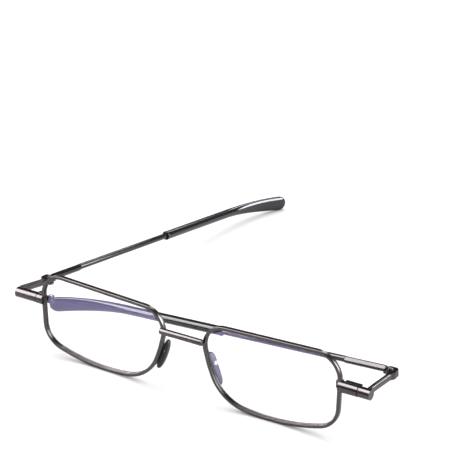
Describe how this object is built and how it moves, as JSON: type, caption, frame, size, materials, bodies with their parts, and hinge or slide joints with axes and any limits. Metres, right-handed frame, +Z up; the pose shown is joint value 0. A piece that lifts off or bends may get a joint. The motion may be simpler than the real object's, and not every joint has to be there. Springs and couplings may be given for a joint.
{
  "type": "folding reading glasses",
  "caption": "Slim full-rim reading glasses with swivelling arms, folding temples and sliding temple tips, standing with one temple open and one folded.",
  "frame": {"origin": "on the table, midway between the lenses, in the plane of the lenses", "axes": "+X towards the wearer's left lens, +Y from the front towards the ears, +Z up from the table"},
  "size_m": [0.1372, 0.1506, 0.0297],
  "materials": {
    "gunmetal": "dark polished plating, faintly brown",
    "barrel_gunmetal": "polished dark plating",
    "temple_gunmetal": "dark polished plating",
    "screw_steel": "plain bright steel",
    "black_gloss": "glossy black lacquer",
    "pad_silicone": "dark smooth silicone",
    "washer_black": "thin dark friction washer",
    "bush_nylon": "natural nylon",
    "lens_clear": "clear with a blue-violet anti-reflection coating"
  },
  "bodies": {
    "front": {"bridge": "gunmetal", "right_rim": "gunmetal", "right_lens": "lens_clear", "right_lock_upper": "gunmetal", "right_lock_lower": "gunmetal", "right_lock_screw": "screw_steel", "right_pad_mount": "screw_steel", "right_nose_pad": "pad_silicone", "right_swivel_housing": "barrel_gunmetal", "right_swivel_pin": "screw_steel", "right_swivel_washer": "washer_black", "left_rim": "gunmetal", "left_lens": "lens_clear", "left_lock_upper": "gunmetal", "left_lock_lower": "gunmetal", "left_lock_screw": "screw_steel", "left_pad_mount": "screw_steel", "left_nose_pad": "pad_silicone", "left_swivel_housing": "barrel_gunmetal", "left_swivel_pin": "screw_steel", "left_swivel_washer": "washer_black"},
    "right_arm": {"right_link": "barrel_gunmetal", "right_fold_screw": "screw_steel"},
    "right_temple": {"right_hinge_tongue": "barrel_gunmetal", "right_front_tube": "temple_gunmetal", "right_temple_rod": "temple_gunmetal", "right_rod_bush": "bush_nylon"},
    "right_sleeve": {"right_sleeve_collar": "black_gloss", "right_temple_tip": "black_gloss"},
    "left_arm": {"left_link": "barrel_gunmetal", "left_fold_screw": "screw_steel"},
    "left_temple": {"left_hinge_tongue": "barrel_gunmetal", "left_front_tube": "temple_gunmetal", "left_temple_rod": "temple_gunmetal", "left_rod_bush": "bush_nylon"},
    "left_sleeve": {"left_sleeve_collar": "black_gloss", "left_temple_tip": "black_gloss"}
  },
  "joints": [
    {"name": "right_swivel", "type": "hinge", "parent": "front", "child": "right_arm", "pos_m": [-0.06, 0.00045, 0.01927], "axis": [1, 0, 0], "range_deg": [-42.31, 92.69]},
    {"name": "right_fold", "type": "hinge", "parent": "right_arm", "child": "right_temple", "pos_m": [-0.0661, 0.01565, 0.01796], "axis": [0, -0.0469, -0.9989], "range_deg": [0, 76.8]},
    {"name": "right_slide", "type": "slide", "parent": "right_temple", "child": "right_sleeve", "axis": [-0.0557, -0.991, 0.1216], "range_m": [0, 0.025]},
    {"name": "left_swivel", "type": "hinge", "parent": "front", "child": "left_arm", "pos_m": [0.06, 0.00045, 0.01927], "axis": [1, 0, 0], "range_deg": [-49.9, 85.1]},
    {"name": "left_fold", "type": "hinge", "parent": "left_arm", "child": "left_temple", "pos_m": [0.0661, 0.0157, 0.01998], "axis": [0, -0.0854, 0.9963], "range_deg": [-85.6, 0]},
    {"name": "left_slide", "type": "slide", "parent": "left_temple", "child": "left_sleeve", "axis": [0.997, -0.0272, 0.0729], "range_m": [-0.0025, 0.0225]}
  ]
}
